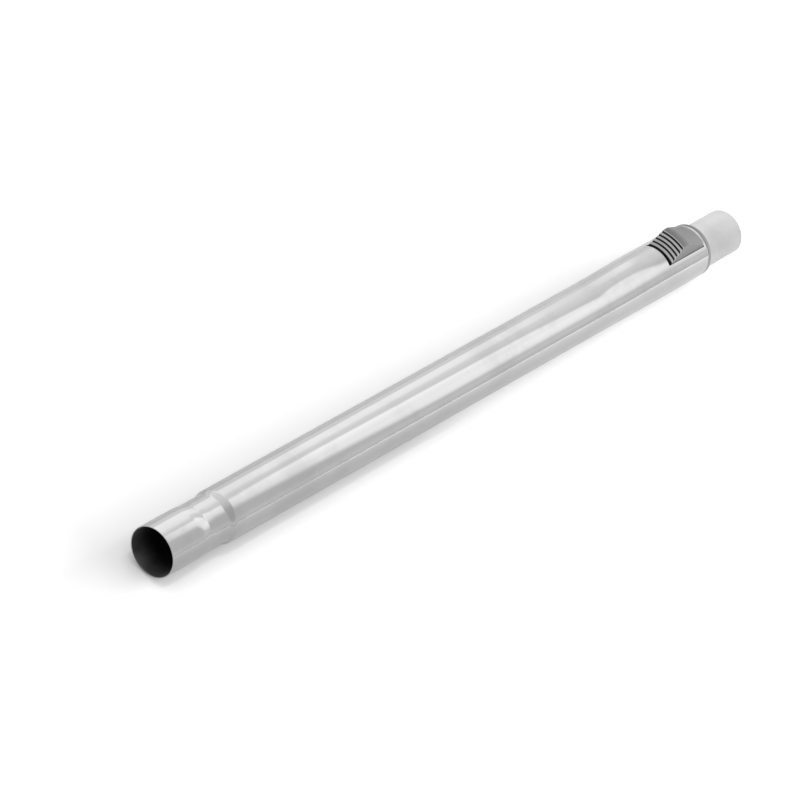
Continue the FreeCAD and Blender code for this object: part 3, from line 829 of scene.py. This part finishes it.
def make_paper():
    """The floor's paper, with painted shade by the wand and far to the near side, painted light by
    the handle end, and a glow for the camera.
    """
    material, tree, shader = new_material("floor_paper")
    shader.inputs["Roughness"].default_value = FLOOR_ROUGHNESS
    shader.inputs["Specular IOR Level"].default_value = FLOOR_GLOSS
    shader.inputs["Emission Strength"].default_value = FLOOR_LIFT
    grain = add_group(tree, GRAIN, Scale=PAPER_GRAIN, Dark=(*grey(PAPER_DARK), 1),
                      Light=(*grey(PAPER_LIGHT), 1))
    along, across, _ = place_axes(tree)
    direct = tree.nodes.new("ShaderNodeLightPath").outputs["Is Camera Ray"]
    near_handle = math_node(tree, "MULTIPLY", fade(tree, along, *PAINTED_LIGHT_ALONG),
                            fade(tree, across, *PAINTED_LIGHT_ACROSS))
    past_mouth = math_node(tree, "MAXIMUM", fade(tree, along, *CONTACT_ENDS), CONTACT_CLEAR)
    clear = math_node(tree, "MAXIMUM", open_share(tree, CONTACT_REACH),
                      math_node(tree, "MULTIPLY", direct, past_mouth))
    lifted = math_node(tree, "MULTIPLY", direct, open_share(tree, LIFT_REACH))
    # painted light on the near side of the handle end
    painted_light_mix = colour_mix(tree, second=grey(PAINTED_LIGHT_GAIN), blend="MULTIPLY")
    # painted shade: the paper darkens far to the near side
    paper = colour_mix(tree, second=grey(FALLOFF_TONE))
    contact = colour_mix(tree, first=grey(CONTACT_SHADE_TONE))
    link_nodes(tree, [
        (near_handle, painted_light_mix.inputs["Factor"]),
        (grain.outputs["Color"], painted_light_mix.inputs["A"]),
        (fade(tree, across, FALLOFF_NEAR, FALLOFF_FAR), paper.inputs["Factor"]),
        (painted_light_mix.outputs["Result"], paper.inputs["A"]),
        (clear, contact.inputs["Factor"]),
        (paper.outputs["Result"], contact.inputs["B"]),
        (contact.outputs["Result"], shader.inputs["Base Color"]),
        (lifted, shader.inputs["Emission Color"]),
    ])
    return material


def make_floor():
    bm = bmesh.new()
    bmesh.ops.create_grid(bm, x_segments=FLOOR_PARTS, y_segments=FLOOR_PARTS, size=FLOOR_HALF)
    mesh = bpy.data.meshes.new("floor")
    bm.to_mesh(mesh)
    bm.free()
    floor = bpy.data.objects.new("floor", mesh)
    floor.location.z = cad_low.z
    bpy.context.scene.collection.objects.link(floor)
    mesh.materials.append(make_paper())
    print("floor at %.2f mm" % (cad_low.z / MM))


make_floor()


# %% Light tent
# degrees from the near horizon over the top to the far horizon, and the brightness there
TENT = [
    (0, 0.9), (5, 0.98), (13, 0.97), (17, 0.76), (32, 0.72), (50, 0.72), (66, 0.78), (78, 0.98),
    (90, 1.12), (106, 1.24), (116, 1.28), (128, 1.34), (140, 1.38), (156, 1.36), (160, 1.18),
    (180, 1.15),
]
# the share of the tent's light that is kept from matt surfaces, so that the lamps shape them
TENT_HELD_BACK = 0.45


def make_tent():
    world = bpy.data.worlds.new("light_tent")
    bpy.context.scene.world = world
    world.use_nodes = True
    tree = world.node_tree
    back = tree.nodes["Background"]
    _, across, up = place_axes(tree, "Generated")
    angle = math_node(tree, "ARCTAN2", up, math_node(tree, "MULTIPLY", across, -1.0))
    ramp = tree.nodes.new("ShaderNodeValToRGB")
    stops = ramp.color_ramp.elements
    while len(stops) < len(TENT):
        stops.new(0.5)
    brightest = max(value for _, value in TENT)
    for stop, (degrees, value) in zip(stops, TENT):
        stop.position = degrees / 180
        stop.color = (*grey(value / brightest), 1)
    rays = tree.nodes.new("ShaderNodeLightPath")
    held_back = math_node(
        tree, "MULTIPLY", rays.outputs["Is Diffuse Ray"], brightest * TENT_HELD_BACK)
    link_nodes(tree, [
        (math_node(tree, "SUBTRACT", brightest, held_back), back.inputs["Strength"]),
        (math_node(tree, "DIVIDE", angle, math.pi), ramp.inputs["Fac"]),
        (ramp.outputs["Color"], back.inputs["Color"]),
    ])
    print("tent: %d stops, brightest %.2f" % (len(TENT), brightest))


make_tent()


# %% Soft boxes
def soft_box(name, place, aim, width, height, brightness, reflects=True):
    """A rectangle of even brightness; its power follows from its area."""
    light = bpy.data.lights.new(name, "AREA")
    light.shape = "RECTANGLE"
    light.size = width
    light.size_y = height
    light.energy = brightness * width * height * math.pi
    box = bpy.data.objects.new(name, light)
    way = (Vector(aim) - Vector(place)).normalized()
    box.matrix_world = Matrix.Translation(place) @ way.to_track_quat("-Z", "Y").to_matrix().to_4x4()
    box.visible_glossy = reflects
    bpy.context.scene.collection.objects.link(box)
    return box


# %% [markdown]
# ### The painted panel
# The bands on the chrome run the length of the wand, and their edges bend on the way. A lamp for
# each band would need a bent outline. Instead one large panel lies overhead, and its brightness is
# painted by where the camera sees each place mirrored along the wand. It has three parts: an even
# lift on the near side, a soft-edged band above the wand, and a strip beyond it.

# %% Where the panel is seen mirrored
PANEL_AT = (2.85, -0.85, 1.0)
PANEL_WIDTH, PANEL_DEPTH = 4.1, 6.3
PANEL_HEIGHT = PANEL_AT[2]
# how far past the wand's own place the mirrored ray lands, at the mouth and more with each metre
MOUTH_SLANT = 0.863
SLANT_GAIN = 0.388


def mirrored_place(tree, x, y):
    """Where along the wand the camera sees a place on the panel mirrored."""
    square = math_node(tree, "ADD", math_node(tree, "MULTIPLY", y, y), PANEL_HEIGHT ** 2)
    reach = math_node(tree, "SQRT", square)
    from_mouth = math_node(tree, "SUBTRACT", x, math_node(tree, "MULTIPLY", reach, MOUTH_SLANT))
    stretch = math_node(tree, "MULTIPLY_ADD", reach, SLANT_GAIN, 1.0)
    return math_node(tree, "DIVIDE", from_mouth, stretch)


def step_between(tree, value, ends, levels):
    """A soft step from the first level to the second, between two places."""
    low, high = levels
    return math_node(tree, "MULTIPLY_ADD", fade(tree, value, *ends), high - low, low)


print("panel: %.1f by %.1f m, %.1f m up" % (PANEL_WIDTH, PANEL_DEPTH, PANEL_HEIGHT))


# %% The parts of the panel
# the even part, which rises along the wand
LIFT_BRIGHT = 0.3
LIFT_RISE = ((0.1, 0.4), (0.5, 1.0))
LIFT_NEAR = (0.15, 0.6)
# the band: where it starts, its far edge, which falls back twice, and its curved near edge
BAND_BRIGHT = 0.68
BAND_START = (-0.02, 0.01)
BAND_RISE = ((0.08, 0.16), (0.85, 1.0))
BAND_FAR = ((0.03, 0.085), (0.06, 0.19))
BAND_FALLS = ((0.14, 0.9), (0.35, 2.0))
BAND_FAR_SOFT = 0.09
BAND_NEAR = -0.42
BAND_NEAR_SLOPE = 1.5
BAND_NEAR_CURVE = 9.0
BAND_NEAR_LIMIT = -1.41
BAND_NEAR_SOFT = 0.16
BAND_SOFTENS = 1.2
# the strip beyond the band
STRIP_BRIGHT = 0.26
STRIP_EDGE = ((0.02, 0.06), (0.35, 0.65))
STRIP_SOFT = 0.2
STRIP_END = (0.42, 0.34)


def panel_lift(tree, along, y):
    near = fade(tree, math_node(tree, "MULTIPLY", y, -1.0), *LIFT_NEAR)
    return math_node(tree, "MULTIPLY", step_between(tree, along, *LIFT_RISE), near)


def panel_band(tree, along, y):
    far_edge = step_between(tree, along, *BAND_FAR)
    for place, rate in BAND_FALLS:
        past = math_node(tree, "MAXIMUM", math_node(tree, "SUBTRACT", along, place), 0.0)
        fall = math_node(tree, "MULTIPLY", past, rate)
        far_edge = math_node(tree, "SUBTRACT", far_edge, fall)
    before_far = math_node(tree, "SUBTRACT", far_edge, y)
    bend = math_node(tree, "MULTIPLY_ADD", along, BAND_NEAR_CURVE, BAND_NEAR_SLOPE)
    bend = math_node(tree, "MULTIPLY", bend, along)
    near_edge = math_node(tree, "MULTIPLY_ADD", bend, -1.0, BAND_NEAR)
    near_edge = math_node(tree, "MAXIMUM", near_edge, BAND_NEAR_LIMIT)
    softness = math_node(tree, "MULTIPLY_ADD", math_node(tree, "MAXIMUM", along, 0.0),
                         BAND_SOFTENS, BAND_NEAR_SOFT)
    past_near = math_node(tree, "DIVIDE", math_node(tree, "SUBTRACT", y, near_edge), softness)
    sides = math_node(tree, "MULTIPLY", fade(tree, before_far, -BAND_FAR_SOFT, BAND_FAR_SOFT),
                      fade(tree, past_near, -1.0, 1.0))
    start = math_node(tree, "MULTIPLY", fade(tree, along, *BAND_START),
                      step_between(tree, along, *BAND_RISE))
    return math_node(tree, "MULTIPLY", sides, start)


def panel_strip(tree, along, y):
    past_edge = math_node(tree, "SUBTRACT", y, step_between(tree, along, *STRIP_EDGE))
    return math_node(tree, "MULTIPLY", fade(tree, past_edge, -STRIP_SOFT, STRIP_SOFT),
                     fade(tree, along, *STRIP_END))


def paint_panel(light):
    """Add up the panel's parts, each at its own brightness."""
    light.use_nodes = True
    tree = light.node_tree
    place = tree.nodes.new("ShaderNodeNewGeometry")
    split = tree.nodes.new("ShaderNodeSeparateXYZ")
    tree.links.new(place.outputs["Position"], split.inputs["Vector"])
    y = split.outputs["Y"]
    along = mirrored_place(tree, split.outputs["X"], y)
    level = math_node(tree, "MULTIPLY", panel_lift(tree, along, y), LIFT_BRIGHT)
    for part, bright in ((panel_band, BAND_BRIGHT), (panel_strip, STRIP_BRIGHT)):
        level = math_node(tree, "MULTIPLY_ADD", part(tree, along, y), bright, level)
    tree.links.new(level, tree.nodes["Emission"].inputs["Strength"])


print("panel parts: lift %.2f, band %.2f, strip %.2f" % (LIFT_BRIGHT, BAND_BRIGHT, STRIP_BRIGHT))


# %% Set the lamps
KEY_AT, KEY_AIM = (1.6, -1.575, 0.9), (0.3, 0, 0.0)
KEY_SIZE, KEY_BRIGHT = (2.86, 1.45), 4.2
LOW_KEY_AT, LOW_KEY_AIM = (2.6, -0.55, 0.75), (0.0, 0, 0.0)
LOW_KEY_SIZE, LOW_KEY_BRIGHT = (0.12, 1.4), 46.0

below_panel = (PANEL_AT[0], PANEL_AT[1], 0)
panel = soft_box("overhead_panel", PANEL_AT, below_panel, PANEL_WIDTH, PANEL_DEPTH, 1.0)
panel.matrix_world = Matrix.Translation(PANEL_AT)
paint_panel(panel.data)
soft_box("near_key", KEY_AT, KEY_AIM, *KEY_SIZE, KEY_BRIGHT, reflects=False)
soft_box("low_key", LOW_KEY_AT, LOW_KEY_AIM, *LOW_KEY_SIZE, LOW_KEY_BRIGHT, reflects=False)

# %% Camera
CAMERA_AT = Vector((-2.2212, -1.1463, 2.3033))
CAMERA_AIM = Vector((0.27211, 0.01773, -0.01896))
CAMERA_ROLL = math.radians(24.91)
LENS = 247.95
SENSOR_WIDTH = 36
CLIP_NEAR, CLIP_FAR = 0.1, 50


def make_camera():
    data = bpy.data.cameras.new("camera")
    data.lens = LENS
    data.sensor_width = SENSOR_WIDTH
    data.clip_start, data.clip_end = CLIP_NEAR, CLIP_FAR
    camera = bpy.data.objects.new("camera", data)
    back = (CAMERA_AT - CAMERA_AIM).normalized()
    right = Vector((0, 0, 1)).cross(back).normalized()
    up = back.cross(right)
    turned_right = math.cos(CAMERA_ROLL) * right + math.sin(CAMERA_ROLL) * up
    turned_up = math.cos(CAMERA_ROLL) * up - math.sin(CAMERA_ROLL) * right
    turn = Matrix((turned_right, turned_up, back)).transposed().to_4x4()
    camera.matrix_world = Matrix.Translation(CAMERA_AT) @ turn
    bpy.context.scene.collection.objects.link(camera)
    bpy.context.scene.camera = camera
    print("camera %.2f m from the wand" % (CAMERA_AT - CAMERA_AIM).length)


make_camera()
bpy.context.scene.view_settings.view_transform = "Standard"
